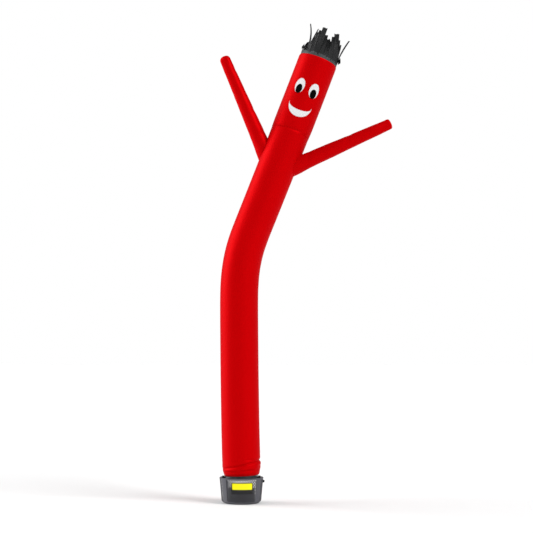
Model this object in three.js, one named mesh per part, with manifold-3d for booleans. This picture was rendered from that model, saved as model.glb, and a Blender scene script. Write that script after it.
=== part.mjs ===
// An inflatable air dancer on its floor blower: a tall open tube of nylon with two arms, a sewn
// face and a fringe of hair, cuffed round the outlet of a drum blower that blows it upright.
// Millimetres. +Z is up, the face looks along -Y and +X is to the right, seen from the front.
// The origin is the centre of the blower's foot, on the floor.

import * as THREE from "three";
import { mergeVertices } from "three/addons/utils/BufferGeometryUtils.js";
import Module from "manifold-3d";

const wasm = await Module();
wasm.setup();

// ---- Driving dimensions --------------------------------------------------------------------

const CLOTH = 2; // nylon with its coating and turned seams
const PATCH = 1.2; // felt of the face and the printed plates
const GAP = 0.3; // clearance between pieces that touch
const FLATS = 36; // flats round the tube, the head and the blower
const ARM_FLATS = 20;
const FITTING_FLATS = 14; // flats round the bolts and the gland
const FLAT = (2 * Math.PI) / FLATS;

const TUBE_RADIUS = 228.5;
const TUBE_TOP_RADIUS = 234; // the tube widens to this from WIDENS up to the neck seam
const WIDENS = 3000;
const HEAD_RADIUS = 239.5;
const NECK = 4248; // along the tube, from its hem to the neck seam
const CROWN = 5190; // along the tube, from its hem to the open crown
const LAP = 10; // the head's hem overlaps the tube by this much on each side of the seam
const CROWN_HEM = { deep: 30, turn: 10, drawn: 1.5, mouth: 5 }; // the crown's hem draws in a little
const NECK_FLARE = 110; // the head widens from the neck seam over this length
const FACE = 4640; // along the tube, to the middle of the face

const HEM_HEIGHT = 335;
const HEM_OFFSET = 4;
const LEAN_TURN = THREE.MathUtils.degToRad(-15); // the tube leans to the right and a little back
const SPINE_STEP = 10;

// The tube's lean from upright, in degrees, by the distance along it from the hem.
const LEANS = [
  { along: 0, lean: -2.2 },
  { along: 400, lean: -1.5 },
  { along: 900, lean: -0.8 },
  { along: 1600, lean: -0.6 },
  { along: 2000, lean: 0 },
  { along: 2200, lean: 1.4 },
  { along: 2400, lean: 6 },
  { along: 2600, lean: 12.2 },
  { along: 2800, lean: 19.2 },
  { along: 2950, lean: 22 },
  { along: 3100, lean: 22.5 },
  { along: 3500, lean: 22.1 },
  { along: 4600, lean: 21.8 },
  { along: 5300, lean: 21.3 },
  { along: 5800, lean: 21.3 },
];

// The tube's outer radius by the distance from the hem: the cuff is drawn in round the outlet.
const TUBE_SECTIONS = [
  { along: 0, radius: 204 },
  { along: 8, radius: 209 },
  { along: 22, radius: 213 },
  { along: 36, radius: 216 },
  { along: 50, radius: 218 },
  { along: 64, radius: 222 },
  { along: 80, radius: 228 },
  { along: 95, radius: 230 },
  { along: 110, radius: 229 },
  { along: 125, radius: 228 },
  { along: 140, radius: 228 },
  { along: 155, radius: 228 },
  { along: 170, radius: 228 },
  { along: 185, radius: 228 },
  { along: 200, radius: 228 },
  { along: 220, radius: TUBE_RADIUS },
  { along: 260, radius: TUBE_RADIUS },
];
const TUBE_BAY = 197; // spacing of the plain sections above the cuff

// Creases in the cuff. Each is a trough across the cloth: its distance from the hem at the front,
// its rise towards the right, its depth and half width, and the stretch of the tube it runs round.
const CUFF_FOLDS = [
  { along: 128, rise: 43, depth: 13, half: 13, at: 25, spread: 130 },
  { along: 196, rise: -14, depth: 6, half: 12, at: 40, spread: 60 },
  { along: 84, rise: 26, depth: -5, half: 16, at: -70, spread: 80 },
  { along: 104, rise: 34, depth: -6, half: 22, at: 80, spread: 75 },
  { along: 42, rise: -16, depth: 6, half: 10, at: -48, spread: 34 },
  { along: 58, rise: 10, depth: 5, half: 11, at: 30, spread: 40 },
  { along: 120, rise: -30, depth: 9, half: 14, at: 175, spread: 70 },
];

// The arms. At is the turn of the root from the front, towards the right; along is its height on
// the tube; reach is the arm's way from root to tip. Pinch is the front-to-back squeeze of the tip.
const ARMS = [
  {
    name: "arm_left",
    at: -96,
    along: 3939,
    reach: new THREE.Vector3(-486, 40, 1133),
    pinch: 0.85,
    blunt: 0.2,
    folds: [
      { along: 150, rise: 40, depth: 5, half: 32, at: 40, spread: 80 },
      { along: 420, rise: 60, depth: 4, half: 34, at: 70, spread: 90 },
      { along: 700, rise: -50, depth: 3, half: 30, at: -60, spread: 80 },
      { along: 980, rise: 45, depth: 4, half: 30, at: 60, spread: 90 },
    ],
  },
  {
    name: "arm_right",
    at: 82,
    along: 3898,
    reach: new THREE.Vector3(1126, -30, 500),
    pinch: 0.5,
    blunt: 1,
    folds: [
      { along: 130, rise: -60, depth: 6, half: 34, at: -30, spread: 80 },
      { along: 330, rise: 50, depth: 4, half: 34, at: 20, spread: 90 },
      { along: 640, rise: -70, depth: 5, half: 36, at: -50, spread: 90 },
      { along: 930, rise: 50, depth: 5, half: 32, at: 0, spread: 90 },
    ],
  },
];
const ARM_ROOT = 98;
const ARM_TIP = 63;
const ARM_FLARE = 7; // extra radius where the arm joins the tube
const ARM_FLARE_REACH = 60;
const ARM_INSIDE = 150; // the arm is made this far into the tube before it is trimmed to it
const ARM_BAYS = 16;
const ARM_PINCH = 240; // length over which an arm flattens towards its tip

// The face: ovals and a smile, sewn on round the head. At is the turn from the front in degrees.
const EYES = [
  { side: "left", at: -23, along: FACE + 138, pupilAt: -22.4, pupilAlong: FACE + 99 },
  { side: "right", at: 22.3, along: FACE + 130, pupilAt: 22.8, pupilAlong: FACE + 92 },
];
const EYE = { half: 14.5, tall: 93 };
const PUPIL = { half: 9, tall: 58 };
const SMILE = { at: 0, half: 36, along: FACE - 76, upper: 76, lower: 158 };
const COLUMN = THREE.MathUtils.degToRad(2.5); // width of the columns a patch is laid in

// The hair: locks of satin cut from one band. At is the root's turn from the front, side and
// front place the tip across the crown, tall is its height above the band, and width and tip are
// the lock's widths. Knee is the height at which it bends and out how far it swings out there.
const BAND_RADIUS = 228;
const BAND_RISE = 42; // the band stands this far out of the crown
const BAND_DEPTH = 24; // and reaches this far down inside its hem
const LOCK_THICK = 1.8;
const LOCK_BENDS = 4;
const LOCK_ROOT = 4; // the locks run this far down into the band
const LOCKS = [
  { at: -84, side: -178, front: 70, tall: 118, width: 62, tip: 34, knee: 70, out: 0.98, twist: 60 },
  { at: -69, side: -238, front: 120, tall: 14, width: 60, tip: 50, knee: 128, out: 1.02, twist: 30 },
  { at: -54, side: -243, front: 150, tall: 326, width: 32, tip: 12, knee: 170, out: 0.78, twist: 60 },
  { at: -43, side: -130, front: 150, tall: 298, width: 60, tip: 22, knee: 150, out: 0.98, twist: -20 },
  { at: -28, side: -88, front: 178, tall: 288, width: 60, tip: 50, knee: 130, out: 1.01, twist: 10 },
  { at: -13, side: -56, front: 200, tall: 330, width: 60, tip: 60, knee: 170, out: 1.01, twist: 8 },
  { at: 2, side: 0, front: 212, tall: 246, width: 60, tip: 20, knee: 110, out: 1.0, twist: -20 },
  { at: 16, side: 40, front: 208, tall: 214, width: 60, tip: 16, knee: 90, out: 1.0, twist: 20 },
  { at: 30, side: 78, front: 185, tall: 266, width: 60, tip: 44, knee: 140, out: 1.0, twist: -28 },
  { at: 44, side: 101, front: 150, tall: 322, width: 60, tip: 62, knee: 170, out: 1.0, twist: -36 },
  { at: 58, side: 150, front: 108, tall: 266, width: 60, tip: 34, knee: 120, out: 1.0, twist: -40 },
  { at: 71, side: 191, front: 78, tall: 226, width: 44, tip: 16, knee: 90, out: 1.0, twist: 60 },
  { at: 82, side: 254, front: 62, tall: 2, width: 60, tip: 56, knee: 138, out: 1.0, twist: -30 },
  { at: 95, side: 270, front: 4, tall: 335, width: 34, tip: 16, knee: 150, out: 0.94, twist: 80 },
  { at: 110, side: 190, front: -72, tall: 270, width: 58, tip: 24, knee: 110, out: 1.0, twist: 15 },
  { at: 125, side: 150, front: -119, tall: 332, width: 60, tip: 50, knee: 140, out: 1.0, twist: -10 },
  { at: 140, side: 109, front: -156, tall: 330, width: 60, tip: 48, knee: 120, out: 1.0, twist: 12 },
  { at: 155, side: 64, front: -195, tall: 304, width: 60, tip: 52, knee: 110, out: 1.0, twist: -14 },
  { at: 170, side: 21, front: -212, tall: 318, width: 60, tip: 50, knee: 120, out: 1.0, twist: 12 },
  { at: -175, side: -34, front: -207, tall: 358, width: 60, tip: 50, knee: 150, out: 1.0, twist: -8 },
  { at: -160, side: -82, front: -185, tall: 310, width: 60, tip: 40, knee: 100, out: 1.0, twist: 14 },
  { at: -145, side: -121, front: -150, tall: 338, width: 60, tip: 46, knee: 140, out: 1.0, twist: 10 },
  { at: -130, side: -150, front: -115, tall: 290, width: 60, tip: 14, knee: 110, out: 1.0, twist: -18 },
  { at: -114, side: -180, front: -64, tall: 216, width: 58, tip: 22, knee: 90, out: 1.0, twist: 22 },
  { at: -99, side: -200, front: -25, tall: 142, width: 56, tip: 22, knee: 60, out: 1.0, twist: -20 },
];

// The blower: a tapered drum with a deck, and a collar that the cuff of the tube is drawn round.
const DRUM_WALL = 4;
const DRUM_FLOOR = 5;
const DRUM_FOOT = 176; // radius of the flat that stands on the floor
const DRUM_LOW = { radius: 238, height: 46 };
const DRUM_RIM = { radius: 262, height: 308 };
const WALL_TOP = 300;
const DECK_HEIGHT = 304;
const RIM_WIDTH = 8;
const RIM_LIP = 3; // the rim's rounded edge
const BEVEL = 4; // rounding of the fittings' edges
const SLEEVE_RADIUS = 197.5;
const SLEEVE_TOP = 430;
const SLEEVE_BELOW = 284;
const SLEEVE_WALL = 5;
const FLANGE_RADIUS = 222;
const FLANGE_TOP = 322;
const MOTOR = { radius: 162, height: 176, shoulder: 14, shaft: 12, shaftTop: 196 };
const BOLT = { radius: 13, height: 30, ring: 237, at: 66 };
const SIDE_BOLT = { at: 85, height: 262, radius: 15, length: 18 };
const GLAND = { at: 175, height: 96, radius: 15, length: 20, bore: 6, depth: 14 };
const NAMEPLATE = { at: 3, half: 30, low: 126, high: 262 };
const NAMEPLATE_FACE = { at: 3, half: 27.5, low: 180, high: 254 };

// ---- Helpers -------------------------------------------------------------------------------

const degrees = THREE.MathUtils.degToRad;
const mix = THREE.MathUtils.lerp;

// A closed geometry as a solid that can be joined and cut.
function solidOf(geometry) {
  geometry.deleteAttribute("normal");
  geometry.deleteAttribute("uv");
  const merged = mergeVertices(geometry, 1e-3);
  return new wasm.Manifold(
    new wasm.Mesh({
      numProp: 3,
      vertProperties: merged.attributes.position.array,
      triVerts: new Uint32Array(merged.index.array),
    }),
  );
}

function geometryOf(solid) {
  const mesh = solid.getMesh();
  const geometry = new THREE.BufferGeometry();
  geometry.setAttribute("position", new THREE.BufferAttribute(mesh.vertProperties, 3));
  geometry.setIndex(new THREE.BufferAttribute(mesh.triVerts, 1));
  const faceted = geometry.toNonIndexed();
  faceted.computeVertexNormals();
  return faceted;
}

// Moves each corner of a plain geometry to the place that shape gives for it.
function shaped(geometry, shape) {
  const corners = geometry.attributes.position;
  const corner = new THREE.Vector3();
  for (let i = 0; i < corners.count; i++) {
    corner.copy(shape(corner.fromBufferAttribute(corners, i)));
    corners.setXYZ(i, corner.x, corner.y, corner.z);
  }
  return geometry;
}

function lathe(profile, flats = FLATS) {
  return new THREE.LatheGeometry(
    profile.map(([radius, along]) => new THREE.Vector2(radius, along)),
    flats,
  );
}

// A wall of even thickness through the sections, open at both ends.
function wallProfile(sections, thickness) {
  const outside = sections.map(({ along, radius }) => [radius, along]);
  const inside = sections.map(({ along, radius }) => [radius - thickness, along]).reverse();
  return [...outside, ...inside, outside[0]];
}

// The value of a column at a distance along a table, on the straight line between its rows.
function valueAt(rows, along, column) {
  const next = rows.findIndex((row) => row.along >= along);
  if (next <= 0) return next === 0 ? rows[0][column] : rows[rows.length - 1][column];
  const [low, high] = [rows[next - 1], rows[next]];
  return mix(low[column], high[column], (along - low.along) / (high.along - low.along));
}

// How far folds push the cloth in, at a distance along it and a turn round it. A trough fades
// out towards both ends of its stretch.
function foldDepth(folds, along, turn) {
  let depth = 0;
  for (const fold of folds) {
    const away = THREE.MathUtils.euclideanModulo(turn - degrees(fold.at) + Math.PI, 2 * Math.PI);
    const reach = (away - Math.PI) / degrees(fold.spread);
    if (Math.abs(reach) >= 1) continue;
    const middle = fold.along + fold.rise * Math.sin(turn);
    const fade = Math.cos((reach * Math.PI) / 2);
    depth += fold.depth * fade * Math.exp(-(((along - middle) / fold.half) ** 2));
  }
  return depth;
}

// ---- The line of the tube ------------------------------------------------------------------

const LEAN_SIDE = new THREE.Vector3(Math.cos(LEAN_TURN), -Math.sin(LEAN_TURN), 0);
const UP = new THREE.Vector3(0, 0, 1);
const FORWARD = new THREE.Vector3(0, -1, 0);

function directionAt(along) {
  const lean = degrees(valueAt(LEANS, along, "lean"));
  return LEAN_SIDE.clone().multiplyScalar(Math.sin(lean)).addScaledVector(UP, Math.cos(lean));
}

const spine = [LEAN_SIDE.clone().multiplyScalar(HEM_OFFSET).setZ(HEM_HEIGHT)];
while (spine.length * SPINE_STEP <= LEANS[LEANS.length - 1].along) {
  const along = (spine.length - 0.5) * SPINE_STEP;
  spine.push(spine[spine.length - 1].clone().addScaledVector(directionAt(along), SPINE_STEP));
}

// A frame across a piece of cloth: across to its right, along it, and out to its front.
function frameAcross(origin, along) {
  const front = FORWARD.clone().addScaledVector(along, -FORWARD.dot(along)).normalize();
  return { origin, along, front, across: along.clone().cross(front) };
}

function tubeFrame(along) {
  const step = THREE.MathUtils.clamp(Math.floor(along / SPINE_STEP), 0, spine.length - 1);
  const direction = directionAt(along);
  const origin = spine[step].clone().addScaledVector(direction, along - step * SPINE_STEP);
  return frameAcross(origin, direction);
}

function inFrame(frame, across, front) {
  return frame.origin.clone()
    .addScaledVector(frame.across, across)
    .addScaledVector(frame.front, front);
}

// A straight lathe or strip, with its length along Y, bent to the line of the tube.
function alongTube(geometry, folds = []) {
  return shaped(geometry, ({ x, y, z }) => {
    const radius = Math.hypot(x, z) || 1;
    const pressed = 1 - foldDepth(folds, y, Math.atan2(x, z)) / radius;
    return inFrame(tubeFrame(y), x * pressed, z * pressed);
  });
}

// ---- The tube, its head and arms -----------------------------------------------------------

const tubeSections = [...TUBE_SECTIONS];
const tubeTop = NECK + LAP;
const plainStart = TUBE_SECTIONS[TUBE_SECTIONS.length - 1].along;
const plainBays = Math.round((tubeTop - plainStart) / TUBE_BAY);
for (let bay = 1; bay <= plainBays; bay++) {
  const along = mix(plainStart, tubeTop, bay / plainBays);
  const wider = THREE.MathUtils.clamp((along - WIDENS) / (NECK - WIDENS), 0, 1);
  tubeSections.push({ along, radius: mix(TUBE_RADIUS, TUBE_TOP_RADIUS, wider) });
}

const NECK_RADIUS = TUBE_TOP_RADIUS + GAP + CLOTH;
const headSections = [
  { along: NECK - LAP, radius: NECK_RADIUS },
  { along: NECK + LAP, radius: NECK_RADIUS },
  { along: NECK + NECK_FLARE / 2, radius: mix(NECK_RADIUS, HEAD_RADIUS, 0.7) },
  { along: NECK + NECK_FLARE, radius: HEAD_RADIUS },
  { along: (NECK + CROWN) / 2, radius: HEAD_RADIUS },
  { along: CROWN - CROWN_HEM.deep, radius: HEAD_RADIUS },
  { along: CROWN - CROWN_HEM.turn, radius: HEAD_RADIUS - CROWN_HEM.drawn },
  { along: CROWN, radius: HEAD_RADIUS - CROWN_HEM.mouth },
];

// The sections of an arm, from inside the tube to the start of its rounded tip.
function armSections(length) {
  const shoulder = length - ARM_TIP;
  return Array.from({ length: ARM_BAYS + 1 }, (_, bay) => {
    const along = mix(-ARM_INSIDE, shoulder, bay / ARM_BAYS);
    const flare = ARM_FLARE * Math.exp(-Math.max(along, 0) / ARM_FLARE_REACH);
    return { along, radius: mix(ARM_ROOT, ARM_TIP, along / length) + flare };
  });
}

// The rounded tip, from the end of the sections to the axis. A blunt tip keeps its width longer.
function tipSections({ along, radius }, length, blunt) {
  return [0.45, 0.8].map((share) => ({
    along: mix(along, length, share),
    radius: radius * Math.sqrt(1 - mix(share, share ** 3, blunt) ** 2),
  }));
}

// Straight profiles of an arm: its cloth, and the air inside it.
function armProfiles(arm) {
  const length = arm.reach.length();
  const sections = armSections(length);
  sections.push(...tipSections(sections[ARM_BAYS], length, arm.blunt));
  const outside = sections.map(({ along, radius }) => [radius, along]);
  const inside = sections.map(({ along, radius }) => [radius - CLOTH, along]);
  const end = length - CLOTH;
  return {
    cloth: [[0, end], ...inside.toReversed(), ...outside, [0, length]],
    air: [[0, -ARM_INSIDE], ...inside, [0, end]],
  };
}

function placedArm(arm, profile) {
  const root = tubeFrame(arm.along);
  const turn = degrees(arm.at);
  const radius = valueAt(tubeSections, arm.along, "radius");
  const seat = inFrame(root, radius * Math.sin(turn), radius * Math.cos(turn));
  const length = arm.reach.length();
  const frame = frameAcross(seat, arm.reach.clone().normalize());
  return shaped(lathe(profile, ARM_FLATS), ({ x, y, z }) => {
    const pressed = 1 - foldDepth(arm.folds, y, Math.atan2(x, z)) / (Math.hypot(x, z) || 1);
    const squeeze = mix(1, arm.pinch, THREE.MathUtils.smoothstep(y, length - ARM_PINCH, length));
    const place = inFrame(frame, x * pressed, z * pressed * squeeze);
    return place.addScaledVector(frame.along, y);
  });
}

// The space that the tube takes up, with the clearance that the arms keep round it.
const tubeSpace = solidOf(
  alongTube(
    lathe([
      [0, 0],
      ...tubeSections.map(({ along, radius }) => [radius + GAP, along]),
      [0, tubeTop],
    ]),
    CUFF_FOLDS,
  ),
);

function armSolid(arm) {
  return solidOf(placedArm(arm, armProfiles(arm).cloth)).subtract(tubeSpace);
}

function tubeSolid() {
  const wall = solidOf(alongTube(lathe(wallProfile(tubeSections, CLOTH)), CUFF_FOLDS));
  return ARMS.reduce(
    (cloth, arm) => cloth.subtract(solidOf(placedArm(arm, armProfiles(arm).air))),
    wall,
  );
}

function headSolid() {
  return solidOf(alongTube(lathe(wallProfile(headSections, CLOTH))));
}

// ---- Patches laid on a faceted wall --------------------------------------------------------

// The turns of a patch's columns, from one end to the other: even steps and every edge between
// two flats of the wall below, so that each column lies on one flat.
function columnTurns(from, to) {
  const turns = [from, to];
  const steps = Math.ceil((to - from) / COLUMN);
  for (let step = 1; step < steps; step++) turns.push(mix(from, to, step / steps));
  for (let edge = Math.ceil(from / FLAT) * FLAT; edge < to; edge += FLAT) turns.push(edge);
  turns.sort((a, b) => a - b);
  return turns.filter((turn, i) => i === 0 || turn - turns[i - 1] > 1e-3);
}

// The distance from the axis to a flat of a wall with this radius at its edges.
function flatRadius(radius, lift, turn) {
  const off = THREE.MathUtils.euclideanModulo(turn, FLAT) - FLAT / 2;
  return (radius * Math.cos(FLAT / 2) + lift) / Math.cos(off);
}

// A patch between two turns. Low and high give its edges at a turn, and place puts a corner that
// is at a turn, a distance along and a lift off the wall.
function patch({ from, to, low, high, lift, place }) {
  const turns = columnTurns(from, to);
  const columns = turns.length - 1;
  return solidOf(
    shaped(new THREE.BoxGeometry(1, 1, 1, columns, 1, 1), ({ x, y, z }) => {
      const turn = turns[Math.round((x + 0.5) * columns)];
      return place(turn, y > 0 ? high(turn) : low(turn), z > 0 ? lift + PATCH : lift);
    }),
  );
}

function onHead(turn, along, lift) {
  const radius = flatRadius(HEAD_RADIUS, lift, turn);
  return inFrame(tubeFrame(along), radius * Math.sin(turn), radius * Math.cos(turn));
}

// Half the height of an oval at a turn.
function ovalHeight(turn, at, half, tall) {
  const share = Math.min(Math.abs(turn - at) / half, 1);
  return tall * Math.sqrt(1 - share ** 2);
}

function ovalPatch({ at, along, half, tall, lift }) {
  const [middle, reach] = [degrees(at), degrees(half)];
  const height = (turn) => ovalHeight(turn, middle, reach, tall);
  return patch({
    from: middle - reach,
    to: middle + reach,
    low: (turn) => along - height(turn),
    high: (turn) => along + height(turn),
    lift,
    place: onHead,
  });
}

function smilePatch() {
  const [middle, reach] = [degrees(SMILE.at), degrees(SMILE.half)];
  const edge = (depth) => (turn) => SMILE.along - ovalHeight(turn, middle, reach, depth);
  return patch({
    from: middle - reach,
    to: middle + reach,
    low: edge(SMILE.lower),
    high: edge(SMILE.upper),
    lift: GAP,
    place: onHead,
  });
}

// ---- Hair ----------------------------------------------------------------------------------

// One lock: a flat strip that rises from the band, bends at its knee and turns along its length.
function lockSolid(lock) {
  const turn = degrees(lock.at);
  const [across, front] = [BAND_RADIUS * Math.sin(turn), BAND_RADIUS * Math.cos(turn)];
  const rootHeight = BAND_RISE - LOCK_ROOT;
  const curve = new THREE.QuadraticBezierCurve3(
    new THREE.Vector3(across, rootHeight, front),
    new THREE.Vector3(across * lock.out, rootHeight + lock.knee, front * lock.out),
    new THREE.Vector3(lock.side, rootHeight + lock.tall, lock.front),
  );
  const outward = new THREE.Vector3(Math.sin(turn), 0, Math.cos(turn));
  const strip = new THREE.BoxGeometry(1, 1, LOCK_THICK, 1, LOCK_BENDS, 1);
  return solidOf(
    shaped(strip, ({ x, y, z }) => {
      const share = y + 0.5;
      const way = curve.getTangent(share);
      const width = way.clone().cross(outward).normalize();
      width.applyAxisAngle(way, degrees(lock.twist) * share);
      const thick = width.clone().cross(way);
      const corner = curve.getPoint(share);
      corner.addScaledVector(width, x * mix(lock.width, lock.tip, share));
      corner.addScaledVector(thick, z);
      return inFrame(tubeFrame(CROWN + corner.y), corner.x, corner.z);
    }),
  );
}

function hairSolid() {
  const inner = (along) => valueAt(headSections, along, "radius") - CLOTH - GAP;
  const sewn = [CROWN - BAND_DEPTH, CROWN - CROWN_HEM.turn, CROWN];
  const band = sewn.map((along) => ({ along, radius: inner(along) }));
  band.push({ along: CROWN + BAND_RISE, radius: BAND_RADIUS + CLOTH / 2 });
  const ring = solidOf(alongTube(lathe(wallProfile(band, CLOTH))));
  return LOCKS.reduce((hair, lock) => hair.add(lockSolid(lock)), ring);
}

// ---- Blower --------------------------------------------------------------------------------

// A profile of radius and height turned round the upright axis, with its first flat at the front.
function turned(profile, flats = FLATS) {
  return lathe(profile, flats).rotateX(Math.PI / 2);
}

// The corner between the foot and the wall of the drum, rounded on a quarter of an oval. Inside,
// it is set in by the thickness of the wall at the wall, and by that of the floor at the floor.
function footCorner(wall) {
  const floor = wall > 0 ? DRUM_FLOOR : 0;
  const reach = DRUM_LOW.radius - DRUM_FOOT;
  return [0, 0.3, 0.6, 1].map((share) => {
    const [sine, cosine] = [Math.sin((share * Math.PI) / 2), Math.cos((share * Math.PI) / 2)];
    const height = DRUM_LOW.height * (1 - cosine) + floor * cosine;
    return [DRUM_FOOT + (reach - wall) * sine, height];
  });
}

function drumSolid() {
  const underDeck = DECK_HEIGHT - DRUM_WALL;
  const hole = SLEEVE_RADIUS + GAP;
  const rimInner = DRUM_RIM.radius - RIM_WIDTH;
  return solidOf(
    turned([
      [0, 0],
      ...footCorner(0),
      [DRUM_RIM.radius - 1, WALL_TOP],
      [DRUM_RIM.radius, DRUM_RIM.height - RIM_LIP],
      [DRUM_RIM.radius - RIM_LIP, DRUM_RIM.height],
      [rimInner, DRUM_RIM.height],
      [rimInner - RIM_LIP, DECK_HEIGHT],
      [hole, DECK_HEIGHT],
      [hole, underDeck],
      [rimInner, underDeck],
      ...footCorner(DRUM_WALL).reverse(),
      [0, DRUM_FLOOR],
    ]),
  );
}

function collarSolid() {
  const inner = SLEEVE_RADIUS - SLEEVE_WALL;
  const seat = DECK_HEIGHT + GAP;
  return solidOf(
    turned([
      [inner, SLEEVE_BELOW],
      [SLEEVE_RADIUS, SLEEVE_BELOW],
      [SLEEVE_RADIUS, seat],
      [FLANGE_RADIUS, seat],
      [FLANGE_RADIUS, FLANGE_TOP - BEVEL],
      [FLANGE_RADIUS - BEVEL, FLANGE_TOP],
      [SLEEVE_RADIUS, FLANGE_TOP],
      [SLEEVE_RADIUS, SLEEVE_TOP],
      [inner, SLEEVE_TOP],
      [inner, SLEEVE_BELOW],
    ]),
  );
}

function motorSolid() {
  const base = DRUM_FLOOR + GAP;
  const top = base + MOTOR.height;
  return solidOf(
    turned([
      [0, base],
      [MOTOR.radius, base],
      [MOTOR.radius, top - MOTOR.shoulder],
      [MOTOR.radius - MOTOR.shoulder, top],
      [MOTOR.shaft, top],
      [MOTOR.shaft, MOTOR.shaftTop],
      [0, MOTOR.shaftTop],
    ]),
  );
}

// The drum's outer radius at a height between the rounded foot and the rim.
function drumRadius(height) {
  const share = (height - DRUM_LOW.height) / (WALL_TOP - DRUM_LOW.height);
  return mix(DRUM_LOW.radius, DRUM_RIM.radius - 1, share);
}

function onDrum(turn, height, lift) {
  const radius = flatRadius(drumRadius(height), lift, turn);
  return new THREE.Vector3(radius * Math.sin(turn), -radius * Math.cos(turn), height);
}

function platePatch({ at, half, low, high }, lift) {
  return patch({
    from: degrees(at - half),
    to: degrees(at + half),
    low: () => low,
    high: () => high,
    lift,
    place: onDrum,
  });
}

// A round fitting, standing on the drum's wall at the middle of a flat and square to it.
function fittingSolid({ at, height }, profile) {
  const turn = degrees(at);
  const rise = onDrum(turn, height + 1, 0).sub(onDrum(turn, height, 0)).normalize();
  const round = new THREE.Vector3(Math.cos(turn), Math.sin(turn), 0);
  const out = round.clone().cross(rise);
  const seat = onDrum(turn, height, 0).addScaledVector(out, GAP);
  const stand = new THREE.Matrix4().makeBasis(rise, out, round.clone()).setPosition(seat);
  return solidOf(lathe(profile, FITTING_FLATS).applyMatrix4(stand));
}

function sideBoltSolid() {
  const { radius, length } = SIDE_BOLT;
  const edge = [[radius, 0], [radius, length - BEVEL], [radius - BEVEL, length]];
  return fittingSolid(SIDE_BOLT, [[0, 0], ...edge, [0, length]]);
}

function glandSolid() {
  const { radius, length, bore, depth } = GLAND;
  const floor = length - depth;
  const outside = [[radius, 0], [radius, length - BEVEL], [radius - BEVEL, length]];
  return fittingSolid(GLAND, [[0, 0], ...outside, [bore, length], [bore, floor], [0, floor]]);
}

function deckBoltSolid(side) {
  const foot = DECK_HEIGHT + GAP;
  const top = foot + BOLT.height;
  const edge = [[BOLT.radius, foot], [BOLT.radius, top - BEVEL], [BOLT.radius - BEVEL, top]];
  const turn = side * degrees(BOLT.at);
  const bolt = turned([[0, foot], ...edge, [0, top]], FITTING_FLATS);
  return solidOf(bolt.translate(BOLT.ring * Math.sin(turn), -BOLT.ring * Math.cos(turn), 0));
}

// ---- The air dancer ------------------------------------------------------------------------

const material = (color, roughness, metalness = 0) =>
  new THREE.MeshStandardMaterial({ color, roughness, metalness });
const RED = material(0xd2050f, 0.5);
const WHITE = material(0xf2f2f4, 0.8);
const BLACK_FELT = material(0x060607, 0.8);
const BLACK_SATIN = material(0x1c1d1f, 0.38);
const DARK_PLASTIC = material(0x35363c, 0.45);
const SHINY_PLASTIC = material(0x14181b, 0.18);
const PAINTED_STEEL = material(0x3a3b3e, 0.5, 0.6);
const RUBBER = material(0x0b0b0c, 0.75);
const PLATE_YELLOW = material(0xfdf400, 0.45);
const PLATE_BLACK = material(0x101013, 0.4);

const airDancer = new THREE.Group();

function addPiece(name, solid, finish) {
  const mesh = new THREE.Mesh(geometryOf(solid), finish);
  mesh.name = name;
  airDancer.add(mesh);
}

addPiece("body_tube", tubeSolid(), RED);
addPiece("head_tube", headSolid(), RED);
for (const arm of ARMS) addPiece(arm.name, armSolid(arm), RED);
addPiece("hair", hairSolid(), BLACK_SATIN);

for (const eye of EYES) {
  const white = { at: eye.at, along: eye.along, lift: GAP, ...EYE };
  const pupil = { at: eye.pupilAt, along: eye.pupilAlong, lift: PATCH + 2 * GAP, ...PUPIL };
  addPiece(`eye_${eye.side}`, ovalPatch(white), WHITE);
  addPiece(`pupil_${eye.side}`, ovalPatch(pupil), BLACK_FELT);
}
addPiece("smile", smilePatch(), WHITE);

addPiece("blower_drum", drumSolid(), DARK_PLASTIC);
addPiece("outlet_collar", collarSolid(), SHINY_PLASTIC);
addPiece("blower_motor", motorSolid(), PAINTED_STEEL);
addPiece("nameplate", platePatch(NAMEPLATE, GAP), PLATE_BLACK);
addPiece("nameplate_face", platePatch(NAMEPLATE_FACE, PATCH + 2 * GAP), PLATE_YELLOW);
addPiece("deck_bolt_left", deckBoltSolid(-1), RUBBER);
addPiece("deck_bolt_right", deckBoltSolid(1), RUBBER);
addPiece("side_bolt", sideBoltSolid(), RUBBER);
addPiece("cord_gland", glandSolid(), RUBBER);

export default airDancer;
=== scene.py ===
"""An inflatable air dancer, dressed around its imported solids: a leaning tube of red nylon with its
creases and stitching, two arms, a sewn face, satin hair, and the perforated drum blower below.

Metres. +Z is up, the face looks along -Y and +X is to the right, seen from the front."""

import random
from collections import namedtuple
from functools import lru_cache
from math import atan2, cos, exp, hypot, pi, radians, sin, sqrt

import bmesh
import bpy
from mathutils import Matrix, Vector, noise


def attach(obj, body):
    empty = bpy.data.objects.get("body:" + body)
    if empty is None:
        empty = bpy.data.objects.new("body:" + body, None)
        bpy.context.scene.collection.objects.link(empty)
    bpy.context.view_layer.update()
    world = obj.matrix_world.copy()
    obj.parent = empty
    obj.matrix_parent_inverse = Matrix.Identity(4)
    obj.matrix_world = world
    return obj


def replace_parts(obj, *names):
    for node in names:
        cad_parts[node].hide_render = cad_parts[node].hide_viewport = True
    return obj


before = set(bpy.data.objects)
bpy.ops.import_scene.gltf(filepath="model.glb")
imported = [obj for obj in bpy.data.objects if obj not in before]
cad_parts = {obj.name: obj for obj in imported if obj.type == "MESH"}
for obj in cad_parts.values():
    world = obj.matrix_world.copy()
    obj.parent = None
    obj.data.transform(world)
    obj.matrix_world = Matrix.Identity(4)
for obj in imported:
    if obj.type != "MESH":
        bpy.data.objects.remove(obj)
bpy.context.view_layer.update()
scene = bpy.context.scene
random.seed(7)

# ---- Sizes, in metres, and the tables that the solids are made from ----

CLOTH = 0.002
PATCH = 0.0012
GAP = 0.0003

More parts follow.
